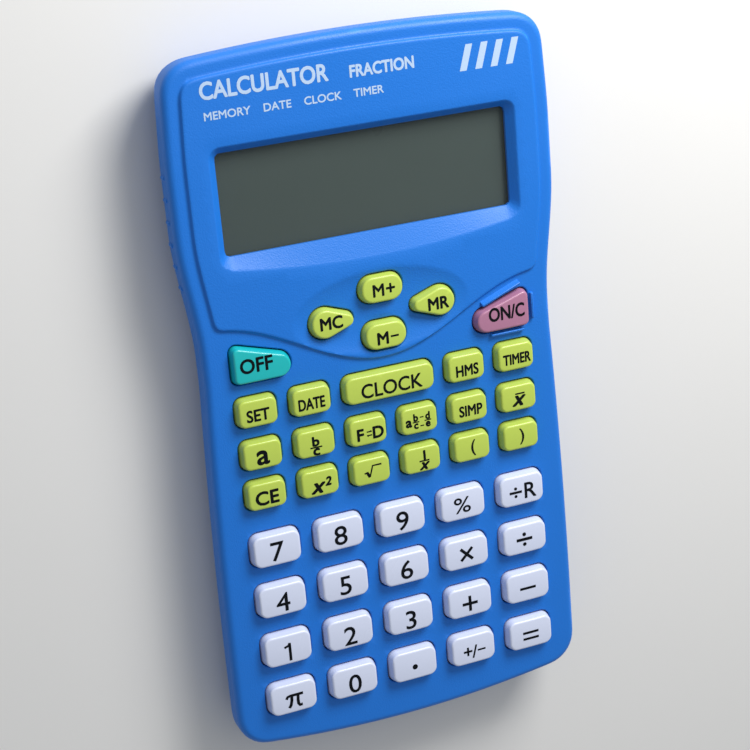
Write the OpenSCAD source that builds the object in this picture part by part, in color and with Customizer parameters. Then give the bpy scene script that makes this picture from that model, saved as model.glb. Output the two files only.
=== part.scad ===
// Pocket calculator. Two plastic shells hold a display, a circuit board, a rubber key mat
// and 43 separate keys; a coin cell sits in a bay behind a sliding cover at the back.
// Millimetres. X points right, Y towards the display end, Z out of the key face.
// The origin is under the middle of the calculator, on the surface that its feet rest on.

/* [Case] */
// Length of the case
case_length = 150; // [149:0.5:152]
// Width of the case beside the display
head_width = 81.8; // [81:0.2:83]
// Width of the case at its waist
waist_width = 76.8; // [76.4:0.2:78]
// Width of the case at the bottom end
foot_width = 79.8; // [79:0.2:81]
// Height where the front and rear shells meet
seam_height = 7.2; // [7.1:0.1:7.4]
// Height of the key face
face_height = 12.4; // [12.3:0.1:12.8]
// Wall thickness of the shells
wall = 1.8; // [1.6:0.1:1.9]
// Rounding radius of the front edge
edge_radius = 1.6; // [1.6:0.2:2.8]
// Height of the feet under the back
foot_height = 0.5; // [0.4:0.1:0.7]

/* [Display panel] */
// How far the display panel stands above the key face
panel_rise = 0.6; // [0.3:0.1:0.8]
// Distance of the panel's edge from the side of the case
panel_margin = 3.5; // [3:0.1:4]
// Lowest point of the panel's wavy lower edge
wave_low_y = 7.9; // [7.6:0.1:8.1]
// Height of the wave from its lowest point to its ends
wave_height = 12.3; // [11.5:0.1:12.8]
// Depth of the shallow dish around the memory keys
dish_depth = 0.7; // [0.4:0.1:0.8]

/* [Display] */
// Width of the visible display
view_width = 62; // [60:0.5:63]
// Height of the visible display
view_height = 20.7; // [20:0.1:21]
// Middle of the visible display along the case
view_y = 44.65; // [44.4:0.05:44.9]
// Depth of the display recess
recess_depth = 1.75; // [1.5:0.05:1.8]
// Width of the bright slope under the display at its middle
slope_drop = 5.1; // [3:0.1:5.3]

/* [Number keys] */
// Spacing of the number key columns
number_pitch_x = 14; // [13.9:0.05:14.1]
// Spacing of the number key rows
number_pitch_y = 11.45; // [11.35:0.05:11.5]
// Middle of the upper number key row
number_top_y = -27.9; // [-28:0.1:-27.8]
// Width of a number key at the key face
number_key_width = 10.8; // [10:0.1:11]
// Height of a number key at the key face
number_key_height = 7.4; // [7:0.1:7.8]

/* [Function keys] */
// Spacing of the function key columns
function_pitch_x = 11.5; // [11.4:0.05:11.6]
// Width of a function key at the key face
function_key_width = 8.7; // [8:0.1:8.8]
// Height of a function key at the key face
function_key_height = 6.3; // [5.8:0.1:6.4]

/* [All keys] */
// How far the keys stand above the key face
key_rise = 2; // [1.8:0.1:2.5]
// Gap between a key and its hole
key_gap = 0.2; // [0.15:0.05:0.25]
// Slope of the key sides from the key face to the top
key_draft = 0.3; // [0.1:0.05:0.4]

/* [Hidden] */
$fn = 48;

case_blue = [0.20, 0.45, 0.85];
lime = [0.72, 0.80, 0.28];
key_white = [0.90, 0.92, 0.97];
teal = [0.20, 0.72, 0.66];
rose = [0.78, 0.50, 0.58];
steel = [0.75, 0.76, 0.78];
nickel = [0.82, 0.80, 0.74];
dark_rubber = [0.22, 0.22, 0.24];
board_green = [0.12, 0.38, 0.20];

// outline of the case
corner_top = 6.5;
corner_bottom = 7;
arch_top = 1.2;
arch_bottom = 2;
arch_reach = 31;
hip_low_y = 14;
hip_length = 26;
flare_top_y = 8;
flare_length = 66;
head_taper = 0.6;
head_taper_y = 52;
head_taper_length = 18;
arc_steps = 7;
side_steps = 24;
end_steps = 5;

// heights inside
back_z = foot_height;
panel_z = face_height + panel_rise;
roof_z = face_height - 1.8;
floor_z = back_z + 2.1;
board_bottom_z = 5.2;
board_top_z = 6.4;
flange_top_z = roof_z - 0.1;
flange_bottom_z = flange_top_z - 0.9;
shell_gap = 0.05;
lip_height = 1.2;
lip_inset = 2.6;
fit_gap = 0.1;
cut = 1;
above_all = 20;
beyond_x = 60;
beyond_y = 90;

// display stack
recess_floor_z = panel_z - recess_depth;
recess_side = 1.5;
recess_corner = 1.6;
slope_corner_drop = 2.1;
recess_bow = 0.15;
recess_steps = 14;
window_width = 67.2;
window_height = 28.7;
window_y = 43.75;
window_top_z = recess_floor_z - 0.1;
window_thick = 1.1;
lcd_top_z = window_top_z - window_thick - 0.1;
lcd_thick = 1.75;
frame_wall = 0.8;
strip_half_width = 29;
strip_low_y = 30.4;
strip_thick = 2;

// wavy lower edge of the display panel and the dish around the memory keys
wave_reach = 36;
wave_steps = 36;
dish_y = 18;
dish_half_width = 19.3;
dish_half_height = 8.7;
dish_rings = 4;
dish_points = 48;
pip_y = 17.9;
pip_radius = 1.3;
pip_rise = 0.35;

// keys
key_corner = 2;
cap_edge = 0.45;
flange_reach = 0.65;
key_points = 32;
number_mid_x = 0.15;
function_rows_y = [2.3, -6.85, -15.65];
function_mid_x = 0.05;
function_drop = 0.1;
memory_rise = 1.6;
power_rise = 1.7;
memory_key_width = 9.5;
memory_key_height = 6;
memory_mid_x = 0.25;
memory_plus_y = 22.6;
memory_minus_y = 12.7;
memory_side_x = 11.2;
memory_side_y = 17.5;
power_spot = [26.6, 12.4];

// guard ridges around the switch-on key
guard_rise = 1.0;
guard_width = 0.8;

// grip ribs on the sides
grip_count = 6;
grip_first_y = 51.5;
grip_pitch = 4.45;
grip_radius = 0.55;
grip_proud = 0.3;
grip_low_z = 7.8;
grip_high_z = 9.9;

// screws and bosses
case_screw_spots = [[29, 63], [-29, 63], [31, 23.5], [-31, 23.5], [24, -69], [-24, -69]];
board_screw_spots = [
    [-26, -21.6], [0, -21.6], [26, -21.6],
    [8, -69.6], [-8, -69.6],
    [20, 25.5], [-20, 25.5]
];
case_boss_radius = 1.9;
case_pilot_radius = 0.95;
case_shaft_radius = 0.9;
case_head_radius = 1.9;
case_head_low_z = 1.7;
case_head_thick = 0.9;
case_tube_radius = 3.4;
tube_inset = 2.65;
case_sink_radius = 2.15;
board_boss_radius = 1.5;
board_pilot_radius = 0.75;
board_shaft_radius = 0.7;
board_head_radius = 1.3;
board_head_thick = 0.8;
cross_width = 0.5;
cross_depth = 0.5;

// circuit board and key mat
board_half_width = 35.2;
board_low_y = -71;
board_high_y = 62;
board_corner_cut = 9;
boss_room = 0.4;
seat_gap = 0.02;
mat_half_width = 34.6;
mat_low_y = -66.3;
mat_high_y = 26.6;
mat_sheet_top_z = 7.4;
blob_curve = 12.75;
blob_thick = 1.5;
dome_base_radius = 2.6;
dome_top_radius = 1.6;
dome_height = flange_bottom_z - mat_sheet_top_z + 0.1;

// battery bay
bay_y = 51;
bay_radius = 10.4;
bay_wall = 1.4;
bay_roof_z = 6.85;
bay_top_z = 7.6;
cell_radius = 10;
cell_low_z = 1.95;
cell_thick = 3.2;
cell_rim = 1.3;
contact_half_width = 2.5;
leaf_half_width = 1.6;
contact_reach = 14.6;
contact_thick = 0.3;
contact_top_z = board_top_z + 0.35;
cover_low_y = 36;
cover_half_width = 13.5;
cover_top_z = 1.75;
cover_split_z = 1.1;
tongue_width = 1.2;
cover_gap = 0.15;
groove_count = 5;
groove_pitch = 1.6;
groove_radius = 0.35;
groove_length = 12;

// feet
foot_spots = [[27, 50], [-27, 50], [27, -58], [-27, -58]];
foot_radius = 4;
foot_sink = 0.7;

function ease(t) = let (c = min(1, max(0, t))) c * c * (3 - 2 * c);
function slow_end(t) = let (c = min(1, max(0, t))) 1 - (1 - c) * (1 - c);
function half_width(y) = waist_width / 2
    + (head_width - waist_width) / 2 * ease((y - hip_low_y) / hip_length)
    + (foot_width - waist_width) / 2 * slow_end((flare_top_y - y) / flare_length)
    - head_taper * ease((y - head_taper_y) / head_taper_length);
function top_y(x) = case_length / 2 - arch_top * pow(x / arch_reach, 2);
function bottom_y(x) = -case_length / 2 + arch_bottom * pow(x / arch_reach, 2);

// right half of the outline, from the bottom middle to the top middle
low_corner_x = foot_width / 2 - corner_bottom;
low_corner_y = bottom_y(low_corner_x) + corner_bottom;
high_corner_x = head_width / 2 - head_taper - corner_top;
high_corner_y = top_y(high_corner_x) - corner_top;
right_side = concat(
    [for (i = [0 : end_steps - 1]) let (x = low_corner_x * i / end_steps) [x, bottom_y(x)]],
    [for (i = [0 : arc_steps]) let (a = 90 * i / arc_steps)
        [low_corner_x + corner_bottom * sin(a), low_corner_y - corner_bottom * cos(a)]],
    [for (i = [1 : side_steps - 1])
        let (y = low_corner_y + (high_corner_y - low_corner_y) * i / side_steps) [half_width(y), y]],
    [for (i = [0 : arc_steps]) let (a = 90 * i / arc_steps)
        [high_corner_x + corner_top * cos(a), high_corner_y + corner_top * sin(a)]],
    [for (i = [1 : end_steps]) let (x = high_corner_x * (1 - i / end_steps)) [x, top_y(x)]]
);
right_count = len(right_side);
whole_side = concat(
    right_side,
    [for (i = [right_count - 2 : -1 : 1]) [-right_side[i][0], right_side[i][1]]]
);
side_count = len(whole_side);
side_normals = [for (i = [0 : side_count - 1])
    let (d = whole_side[(i + 1) % side_count] - whole_side[(i + side_count - 1) % side_count])
    [d[1], -d[0]] / norm(d)];

function outline(inset) = [for (i = [0 : side_count - 1]) whole_side[i] - side_normals[i] * inset];
function at_height(points, z) = [for (p = points) [p[0], p[1], z]];
function wave_y(x) = wave_low_y + wave_height * (1 - cos(180 * min(1, abs(x) / wave_reach))) / 2;

// solid through a list of closed rings of points, from the lowest ring up
module loft(rings) {
    count = len(rings[0]);
    levels = len(rings);
    points = [for (ring = rings) each ring];
    sides = [for (k = [0 : levels - 2]) for (i = [0 : count - 1]) let (j = (i + 1) % count)
        each [
            [k * count + i, (k + 1) * count + i, (k + 1) * count + j],
            [k * count + i, (k + 1) * count + j, k * count + j]
        ]];
    bottom = [[for (i = [0 : count - 1]) i]];
    top = [[for (i = [count - 1 : -1 : 0]) (levels - 1) * count + i]];
    polyhedron(points, concat(bottom, sides, top));
}

module case_prism(inset, low, high) {
    translate([0, 0, low])
        linear_extrude(height = high - low)
            polygon(outline(inset));
}

module block(low, high) {
    translate(low)
        cube(high - low);
}

module rod(spot, radius, low, high) {
    translate([spot[0], spot[1], low])
        cylinder(r = radius, h = high - low);
}

// ---- key shapes -------------------------------------------------------------------------

// Every key outline is the outer line around a few circles, each [x, y, radius].
function reach(circle, side) = circle[0] * side[0] + circle[1] * side[1] + circle[2];
function furthest(circles, side, i = 0, best = 0) = i == len(circles)
    ? circles[best]
    : furthest(circles, side, i + 1, reach(circles[i], side) > reach(circles[best], side) ? i : best);
function key_outline(circles, grow) = [
    for (i = [0 : key_points - 1])
        let (a = 360 * (i + 0.5) / key_points)
        let (side = [cos(a), sin(a)])
        let (c = furthest(circles, side))
        [c[0] + (c[2] + grow) * side[0], c[1] + (c[2] + grow) * side[1]]
];

function plate_circles(size, corner) = [
    for (sx = [-1, 1]) for (sy = [-1, 1])
        [sx * (size[0] / 2 - corner), sy * (size[1] / 2 - corner), corner]
];

number_circles = plate_circles([number_key_width, number_key_height], key_corner);
function_circles = plate_circles([function_key_width, function_key_height], key_corner - 0.3);
clock_circles = plate_circles([function_key_width + function_pitch_x, function_key_height], key_corner);
memory_circles = plate_circles([memory_key_width, memory_key_height], 2.8);
drop_circles = [[-1.55, 0, 3.25], [3.2, 0, 1.6]];
power_circles = [[4.85, 2.6, 1.4], [4.85, -2.6, 1.4], [-3.55, -1.3, 2.7]];

function number_spot(column, row) =
    [number_mid_x + (column - 2) * number_pitch_x, number_top_y - row * number_pitch_y];
function function_spot(column, row) =
    [function_mid_x + (column - 2.5) * function_pitch_x, function_rows_y[row]];
function is_small(column, row) = row > 0 || column < 2 || column > 3;

// one key: a flange that holds it in, a straight stem, sloping sides and a small top edge
module key_body(circles, top) {
    loft([
        at_height(key_outline(circles, flange_reach), flange_bottom_z),
        at_height(key_outline(circles, flange_reach), flange_top_z),
        at_height(key_outline(circles, 0), flange_top_z),
        at_height(key_outline(circles, 0), face_height),
        at_height(key_outline(circles, -key_draft), top - cap_edge),
        at_height(key_outline(circles, -key_draft - cap_edge), top)
    ]);
}

module number_key(column, row) {
    color(key_white)
        translate(number_spot(column, row))
            key_body(number_circles, face_height + key_rise);
}

module function_key(column, row) {
    color(lime)
        translate(function_spot(column, row))
            key_body(function_circles, face_height + key_rise - function_drop);
}

module memory_key(y) {
    color(lime)
        translate([memory_mid_x, y])
            key_body(memory_circles, face_height + memory_rise);
}

module memory_side_key(side) {
    color(lime)
        translate([memory_mid_x + side * memory_side_x, memory_side_y])
            rotate([0, 0, side > 0 ? 180 : 0])
                key_body(drop_circles, face_height + memory_rise);
}

module power_key(side) {
    mirror([side < 0 ? 1 : 0, 0, 0])
        translate(power_spot)
            key_body(power_circles, face_height + power_rise);
}

// every key hole of the front case, as flat shapes larger than the keys by a gap
module all_key_holes(grow) {
    for (row = [0 : 3]) {
        for (column = [0 : 4]) {
            translate(number_spot(column, row))
                polygon(key_outline(number_circles, grow));
        }
    }
    for (row = [0 : 2]) {
        for (column = [0 : 5]) {
            if (is_small(column, row)) {
                translate(function_spot(column, row))
                    polygon(key_outline(function_circles, grow));
            }
        }
    }
    translate([function_mid_x, function_rows_y[0]])
        polygon(key_outline(clock_circles, grow));
    for (y = [memory_plus_y, memory_minus_y]) {
        translate([memory_mid_x, y])
            polygon(key_outline(memory_circles, grow));
    }
    for (side = [-1, 1]) {
        translate([memory_mid_x + side * memory_side_x, memory_side_y])
            rotate([0, 0, side > 0 ? 180 : 0])
                polygon(key_outline(drop_circles, grow));
        mirror([side < 0 ? 1 : 0, 0])
            translate(power_spot)
                polygon(key_outline(power_circles, grow));
    }
}

// middle of every key, for the domes of the key mat
dome_spots = concat(
    [for (row = [0 : 3]) for (column = [0 : 4]) number_spot(column, row)],
    [for (row = [0 : 2]) for (column = [0 : 5]) if (is_small(column, row)) function_spot(column, row)],
    [[function_mid_x, function_rows_y[0]], [memory_mid_x, memory_plus_y], [memory_mid_x, memory_minus_y]],
    [for (side = [-1, 1]) [memory_mid_x + side * memory_side_x, memory_side_y]],
    [[-power_spot[0], power_spot[1]], power_spot]
);

// ---- front case ---------------------------------------------------------------------------

front_rings = concat(
    [at_height(outline(0), seam_height + shell_gap)],
    [for (i = [0 : 4]) let (a = 90 * i / 4)
        at_height(outline(edge_radius * (1 - cos(a))), face_height - edge_radius * (1 - sin(a)))],
    [at_height(outline(edge_radius), face_height + cut)]
);

module front_outside() {
    difference() {
        loft(front_rings);
        block([-beyond_x, -beyond_y, face_height], [beyond_x, beyond_y, face_height + 2 * cut]);
    }
}

module display_panel() {
    translate([0, 0, face_height - 0.4])
        linear_extrude(height = panel_rise + 0.4)
            intersection() {
                polygon(outline(panel_margin));
                polygon(concat(
                    [for (i = [0 : wave_steps]) let (x = 50 * (2 * i / wave_steps - 1)) [x, wave_y(x)]],
                    [[50, beyond_y], [-50, beyond_y]]
                ));
            }
}

// ring of the display recess: the lower edge bulges down by drop at its middle
function recess_ring(half_x, high_y, low_y, drop, z) = concat(
    [for (i = [0 : recess_steps])
        let (x = (half_x - recess_corner) * (2 * i / recess_steps - 1))
        [x, low_y - drop * (1 - pow(x / half_x, 2)), z]],
    [[half_x, low_y + recess_corner, z], [half_x, high_y - recess_corner, z]],
    [[half_x - recess_corner, high_y, z], [-half_x + recess_corner, high_y, z]],
    [[-half_x, high_y - recess_corner, z], [-half_x, low_y + recess_corner, z]]
);

module display_recess() {
    half_x = view_width / 2;
    high_y = view_y + view_height / 2;
    low_y = view_y - view_height / 2;
    grow = 1 + cut / recess_depth;
    loft([
        recess_ring(half_x, high_y, low_y, recess_bow, roof_z - cut),
        recess_ring(half_x, high_y, low_y, recess_bow, recess_floor_z),
        recess_ring(
            half_x + recess_side * grow, high_y + recess_side * grow, low_y - slope_corner_drop * grow,
            (slope_drop - slope_corner_drop) * grow, panel_z + cut
        )
    ]);
}

module memory_dish() {
    loft([for (k = [0 : dish_rings])
        let (part = 0.3 + 0.7 * k / dish_rings)
        let (z = panel_z + 0.05 - (dish_depth + 0.05) * (1 - part * part) / (1 - 0.3 * 0.3))
        [for (i = [0 : dish_points - 1]) let (a = 360 * i / dish_points)
            [dish_half_width * part * cos(a), dish_y + dish_half_height * part * sin(a), z]]
    ]);
}

module guard_ridges() {
    translate([0, 0, face_height - 0.4])
        linear_extrude(height = guard_rise + 0.4) {
            polygon([[22.2, 14.8], [30.8, 18.3], [31.4, 17.7], [31.4, 17.45], [22.5, 14.35]]);
            translate([33.5, 9.6])
                square([guard_width - 0.2, 5.6]);
            translate([24, 7.25])
                square([7.6, guard_width - 0.15]);
        }
}

module grip_ribs() {
    for (side = [-1, 1]) {
        for (i = [0 : grip_count - 1]) {
            y = grip_first_y - i * grip_pitch;
            x = half_width(y) - grip_radius + grip_proud;
            rod([side * x, y], grip_radius, grip_low_z, grip_high_z);
        }
    }
}

module front_bosses() {
    for (spot = case_screw_spots) {
        rod(spot, case_boss_radius, seam_height + shell_gap, roof_z + 0.2);
    }
    for (spot = board_screw_spots) {
        rod(spot, board_boss_radius, board_top_z + shell_gap, roof_z + 0.2);
    }
}

module display_frame() {
    outer_x = window_width / 2 + fit_gap + frame_wall;
    outer_y = window_height / 2 + fit_gap + frame_wall;
    low_z = lcd_top_z - lcd_thick;
    difference() {
        block([-outer_x, window_y - outer_y, low_z], [outer_x, window_y + outer_y, roof_z + 0.2]);
        block(
            [-outer_x + frame_wall, window_y - outer_y + frame_wall, low_z - cut],
            [outer_x - frame_wall, window_y + outer_y - frame_wall, roof_z + cut]
        );
    }
}

module front_case() {
    color(case_blue)
        difference() {
            union() {
                difference() {
                    union() {
                        front_outside();
                        display_panel();
                        grip_ribs();
                    }
                    case_prism(wall, seam_height - cut, roof_z);
                    memory_dish();
                }
                guard_ridges();
                rod([0, pip_y], pip_radius, panel_z - dish_depth - 0.3, panel_z - dish_depth + pip_rise);
                front_bosses();
                display_frame();
            }
            display_recess();
            block(
                [-window_width / 2 - fit_gap, window_y - window_height / 2 - fit_gap, roof_z - cut],
                [window_width / 2 + fit_gap, window_y + window_height / 2 + fit_gap, window_top_z + fit_gap]
            );
            translate([0, 0, roof_z - cut])
                linear_extrude(height = above_all)
                    all_key_holes(key_gap);
            for (spot = case_screw_spots) {
                rod(spot, case_pilot_radius, seam_height - cut, roof_z);
            }
            for (spot = board_screw_spots) {
                rod(spot, board_pilot_radius, board_top_z - cut, roof_z - 0.3);
            }
        }
}

// ---- rear case ------------------------------------------------------------------------------

// rounding of the back's edge, as pairs of height above the back and distance in from the outline
rear_profile = [[0, 6.8], [0.3, 5.2], [1.1, 3.4], [2.5, 1.9], [4.5, 0.8]];
seam_step = 0.3;
rear_rings = concat(
    [at_height(outline(rear_profile[0][1]), back_z - cut)],
    [for (p = rear_profile) at_height(outline(p[1]), back_z + p[0])],
    [at_height(outline(seam_step), seam_height)]
);
rear_inside_rings = [
    at_height(outline(5.4), floor_z - cut),
    at_height(outline(5.4), floor_z),
    at_height(outline(3.6), floor_z + 1.2),
    at_height(outline(2.7), floor_z + 2.7),
    at_height(outline(2.7), seam_height + cut)
];

module rear_outside() {
    difference() {
        loft(rear_rings);
        block([-beyond_x, -beyond_y, back_z - 2 * cut], [beyond_x, beyond_y, back_z]);
    }
}

module rear_inside() {
    difference() {
        loft(rear_inside_rings);
        block([-beyond_x, -beyond_y, floor_z - 2 * cut], [beyond_x, beyond_y, floor_z]);
    }
}

module cover_slot(gap) {
    block(
        [-cover_half_width - gap, cover_low_y - gap, -cut],
        [cover_half_width + gap, beyond_y, cover_split_z + gap]
    );
    block(
        [-cover_half_width - tongue_width - gap, cover_low_y - gap, cover_split_z],
        [cover_half_width + tongue_width + gap, beyond_y, cover_top_z + gap]
    );
}

module rear_case() {
    color(case_blue)
        difference() {
            union() {
                difference() {
                    rear_outside();
                    rear_inside();
                }
                difference() {
                    case_prism(wall + 0.15, seam_height - lip_height, seam_height + lip_height);
                    case_prism(lip_inset, seam_height - 2 * lip_height, seam_height + 2 * lip_height);
                }
                intersection() {
                    case_prism(tube_inset, floor_z - 0.3, seam_height);
                    for (spot = case_screw_spots) {
                        rod(spot, case_tube_radius, floor_z - cut, seam_height + cut);
                    }
                }
                rod([0, bay_y], bay_radius + bay_wall, floor_z - 0.3, bay_top_z);
            }
            cover_slot(cover_gap);
            rod([0, bay_y], bay_radius, 0, bay_roof_z);
            block(
                [bay_radius - 2, bay_y - contact_half_width - 0.6, floor_z],
                [bay_radius + bay_wall + cut, bay_y + contact_half_width + 0.6, bay_roof_z]
            );
            block(
                [-bay_radius - bay_wall - cut, bay_y - leaf_half_width - 0.5, board_top_z - 0.1],
                [-bay_radius + 2, bay_y + leaf_half_width + 0.5, bay_roof_z]
            );
            for (spot = case_screw_spots) {
                rod(spot, case_sink_radius, -cut, case_head_low_z + case_head_thick + 0.05);
                rod(spot, case_shaft_radius + 0.3, 0, seam_height + cut);
            }
            for (spot = foot_spots) {
                rod(spot, foot_radius + 0.15, -cut, back_z + foot_sink);
            }
        }
}

module battery_cover() {
    color(case_blue)
        difference() {
            intersection() {
                rear_outside();
                cover_slot(0);
            }
            for (i = [0 : groove_count - 1]) {
                translate([0, cover_low_y + 4 + i * groove_pitch, back_z])
                    rotate([0, 90, 0])
                        cylinder(r = groove_radius, h = groove_length, center = true);
            }
        }
}

// ---- display stack --------------------------------------------------------------------------

module display_window() {
    color([0.75, 0.80, 0.82])
        block(
            [-window_width / 2, window_y - window_height / 2, window_top_z - window_thick],
            [window_width / 2, window_y + window_height / 2, window_top_z]
        );
}

module lcd_panel() {
    half_x = window_width / 2 - 0.6;
    half_y = window_height / 2 - 0.4;
    color([0.40, 0.46, 0.44])
        block([-half_x, window_y - half_y, lcd_top_z - lcd_thick], [half_x, window_y + half_y, lcd_top_z]);
}

module zebra_strip() {
    color([0.85, 0.55, 0.65])
        block(
            [-strip_half_width, strip_low_y, board_top_z + seat_gap],
            [strip_half_width, strip_low_y + strip_thick, lcd_top_z - lcd_thick - seat_gap]
        );
}

// ---- board and mat ----------------------------------------------------------------------------

// room round the case screws at the sides of a sheet of the given half width
module case_screw_room(half_width) {
    reach = case_tube_radius + boss_room;
    for (spot = case_screw_spots) {
        rod(spot, reach, 0, above_all);
        block(
            [spot[0] > 0 ? spot[0] : -half_width - cut, spot[1] - reach, 0],
            [spot[0] > 0 ? half_width + cut : spot[0], spot[1] + reach, above_all]
        );
    }
}

module circuit_board() {
    color(board_green)
        difference() {
            block(
                [-board_half_width, board_low_y, board_bottom_z],
                [board_half_width, board_high_y, board_top_z]
            );
            rod([0, bay_y], bay_radius + bay_wall + 0.5, 0, above_all);
            case_screw_room(board_half_width);
            for (spot = board_screw_spots) {
                rod(spot, board_shaft_radius + 0.2, 0, above_all);
            }
            for (side = [-1, 1]) {
                translate([side * board_half_width, board_low_y, 0])
                    rotate([0, 0, 45])
                        cube([board_corner_cut, board_corner_cut, 2 * above_all], center = true);
            }
        }
}

module key_mat() {
    color(dark_rubber)
        difference() {
            union() {
                block(
                    [-mat_half_width, mat_low_y, board_top_z + seat_gap],
                    [mat_half_width, mat_high_y, mat_sheet_top_z]
                );
                for (spot = dome_spots) {
                    translate([spot[0], spot[1], mat_sheet_top_z - 0.1])
                        cylinder(r1 = dome_base_radius, r2 = dome_top_radius, h = dome_height);
                }
            }
            for (spot = board_screw_spots) {
                rod(spot, board_boss_radius + boss_room, 0, above_all);
            }
            case_screw_room(mat_half_width);
        }
}

module chip_blob() {
    color([0.08, 0.08, 0.09])
        intersection() {
            translate([0, -4, board_bottom_z - seat_gap - blob_thick + blob_curve])
                sphere(r = blob_curve);
            block([-8, -12, floor_z + 0.2], [8, 4, board_bottom_z - seat_gap]);
        }
}

module crystal() {
    color(steel)
        translate([15, 9, board_bottom_z - 1.05])
            rotate([0, 90, 0])
                cylinder(r = 1, h = 6, center = true);
}

module smd_parts() {
    spots = [
        [-14, 4], [-14, 8], [-18, 4], [-18, 8], [-24, 12], [-12, -14],
        [10, -12], [14, -12], [18, 3], [22, 3]
    ];
    size = [2, 1.2, 0.68];
    color([0.55, 0.45, 0.35])
        for (spot = spots) {
            translate([spot[0] - size[0] / 2, spot[1] - size[1] / 2, board_bottom_z - seat_gap - size[2]])
                cube(size);
        }
}

// ---- battery ----------------------------------------------------------------------------------

module battery_cell() {
    color(steel)
        union() {
            rod([0, bay_y], cell_radius, cell_low_z, cell_low_z + cell_thick - 0.6);
            rod([0, bay_y], cell_radius - cell_rim, cell_low_z + cell_thick - 0.7, cell_low_z + cell_thick);
        }
}

module battery_contact_positive() {
    color(nickel)
        union() {
            block(
                [cell_radius + 0.3, bay_y - contact_half_width, floor_z + 0.3],
                [cell_radius + 0.6, bay_y + contact_half_width, contact_top_z]
            );
            block(
                [cell_radius + 0.3, bay_y - contact_half_width, contact_top_z - contact_thick],
                [contact_reach, bay_y + contact_half_width, contact_top_z]
            );
        }
}

module battery_contact_negative() {
    leaf_low_z = cell_low_z + cell_thick + 0.05;
    color(nickel)
        union() {
            block(
                [-contact_reach, bay_y - leaf_half_width, contact_top_z - contact_thick],
                [4, bay_y + leaf_half_width, contact_top_z]
            );
            translate([0, bay_y, leaf_low_z])
                cylinder(r1 = 1.2, r2 = 1.5, h = contact_top_z - contact_thick / 2 - leaf_low_z);
        }
}

// ---- fasteners and feet -------------------------------------------------------------------------

module cross_slot(spot, low, reach) {
    for (turn = [0, 90]) {
        translate([spot[0], spot[1], low])
            rotate([0, 0, turn])
                cube([reach, cross_width, 2 * cross_depth], center = true);
    }
}

module case_screws() {
    color(steel)
        for (spot = case_screw_spots) {
            difference() {
                union() {
                    rod(spot, case_head_radius, case_head_low_z, case_head_low_z + case_head_thick);
                    rod(spot, case_shaft_radius, case_head_low_z + 0.2, roof_z - 0.3);
                }
                cross_slot(spot, case_head_low_z, 2.4);
            }
        }
}

module board_screws() {
    head_low_z = board_bottom_z - seat_gap - board_head_thick;
    color(steel)
        for (spot = board_screw_spots) {
            difference() {
                union() {
                    rod(spot, board_head_radius, head_low_z, head_low_z + board_head_thick);
                    rod(spot, board_shaft_radius, board_bottom_z - 0.3, roof_z - 0.6);
                }
                cross_slot(spot, head_low_z, 1.7);
            }
        }
}

module rubber_feet() {
    color(dark_rubber)
        for (spot = foot_spots) {
            rod(spot, foot_radius, 0, back_z + foot_sink - 0.05);
        }
}

// ---- the 43 keys, one node each ------------------------------------------------------------------

module key_off() {
    color(teal)
        power_key(-1);
}

module key_on_clear() {
    color(rose)
        power_key(1);
}

module key_memory_plus() {
    memory_key(memory_plus_y);
}

module key_memory_minus() {
    memory_key(memory_minus_y);
}

module key_memory_recall() {
    memory_side_key(1);
}

module key_memory_clear() {
    memory_side_key(-1);
}

module key_set() {
    function_key(0, 0);
}

module key_date() {
    function_key(1, 0);
}

module key_hms() {
    function_key(4, 0);
}

module key_timer() {
    function_key(5, 0);
}

module key_whole_part() {
    function_key(0, 1);
}

module key_fraction() {
    function_key(1, 1);
}

module key_fraction_decimal() {
    function_key(2, 1);
}

module key_mixed_fraction() {
    function_key(3, 1);
}

module key_simplify() {
    function_key(4, 1);
}

module key_mean() {
    function_key(5, 1);
}

module key_clear_entry() {
    function_key(0, 2);
}

module key_square() {
    function_key(1, 2);
}

module key_root() {
    function_key(2, 2);
}

module key_reciprocal() {
    function_key(3, 2);
}

module key_bracket_open() {
    function_key(4, 2);
}

module key_bracket_close() {
    function_key(5, 2);
}

module key_clock() {
    color(lime)
        translate([function_mid_x, function_rows_y[0]])
            key_body(clock_circles, face_height + key_rise - function_drop);
}

module key_7() {
    number_key(0, 0);
}

module key_8() {
    number_key(1, 0);
}

module key_9() {
    number_key(2, 0);
}

module key_percent() {
    number_key(3, 0);
}

module key_remainder() {
    number_key(4, 0);
}

module key_4() {
    number_key(0, 1);
}

module key_5() {
    number_key(1, 1);
}

module key_6() {
    number_key(2, 1);
}

module key_times() {
    number_key(3, 1);
}

module key_divide() {
    number_key(4, 1);
}

module key_1() {
    number_key(0, 2);
}

module key_2() {
    number_key(1, 2);
}

module key_3() {
    number_key(2, 2);
}

module key_plus() {
    number_key(3, 2);
}

module key_minus() {
    number_key(4, 2);
}

module key_pi() {
    number_key(0, 3);
}

module key_0() {
    number_key(1, 3);
}

module key_point() {
    number_key(2, 3);
}

module key_sign() {
    number_key(3, 3);
}

module key_equals() {
    number_key(4, 3);
}

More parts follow.
